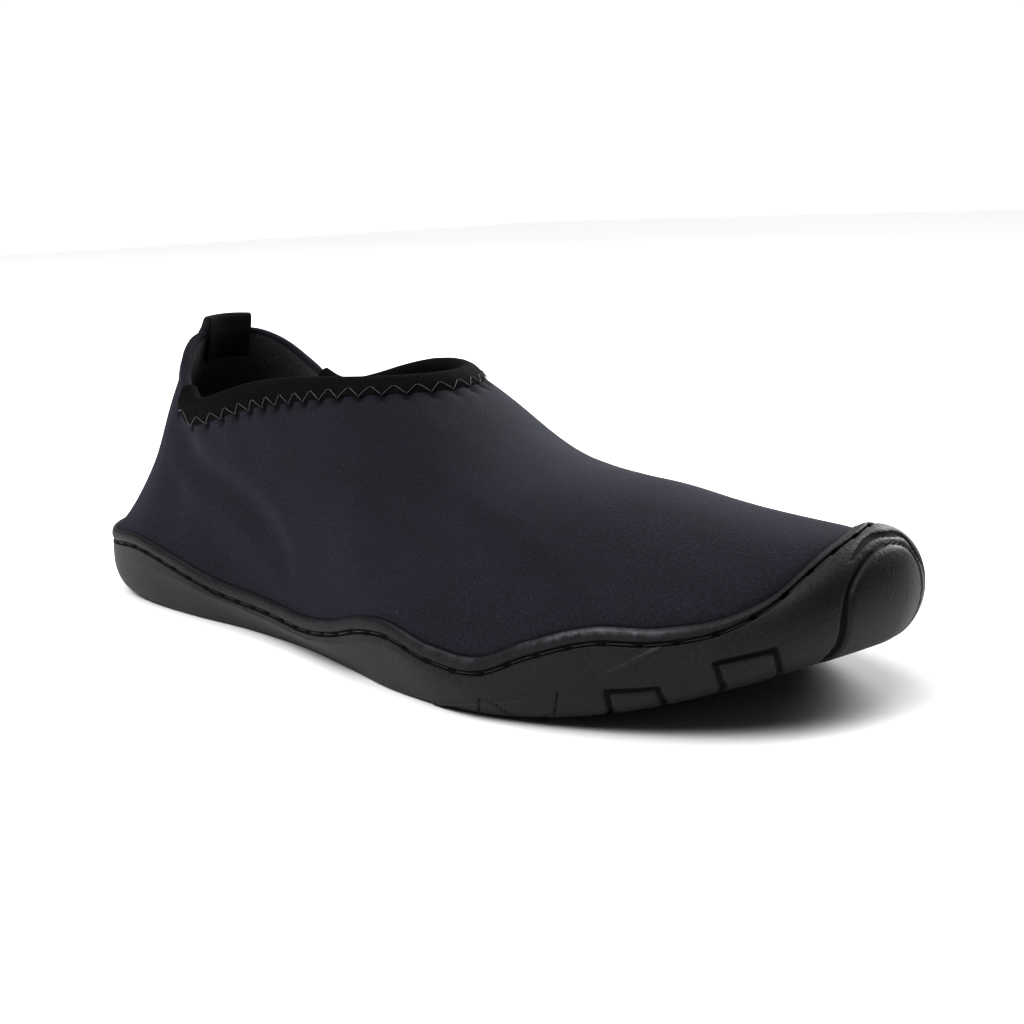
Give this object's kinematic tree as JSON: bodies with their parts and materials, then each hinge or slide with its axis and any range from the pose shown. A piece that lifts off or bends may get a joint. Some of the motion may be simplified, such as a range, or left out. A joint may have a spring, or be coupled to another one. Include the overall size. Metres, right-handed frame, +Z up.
{
  "type": "water shoe",
  "caption": "Slip-on water shoe for the right foot: stretch fabric upper with a bound collar and heel pull tab on a low, wavy-edged rubber cup sole turned up over the toe.",
  "frame": {"origin": "on the floor, under the middle of the shoe's bounding box", "axes": "+X towards the toe, -Y to the outer (lateral) side of the foot, +Z up"},
  "size_m": [0.28, 0.1022, 0.0808],
  "materials": {
    "rubber": "matte dark charcoal, leather-like grain underneath",
    "knit": "bluish-black stretch knit over thin foam",
    "binding": "black stretch binding tape with grey zigzag stitching",
    "tab": "black woven tape",
    "foam": "thin black foam faced with cloth"
  },
  "bodies": {
    "root": {"outsole": "rubber", "upper": "knit", "collar_band": "binding", "heel_tab": "tab", "insole": "foam"}
  },
  "joints": []
}
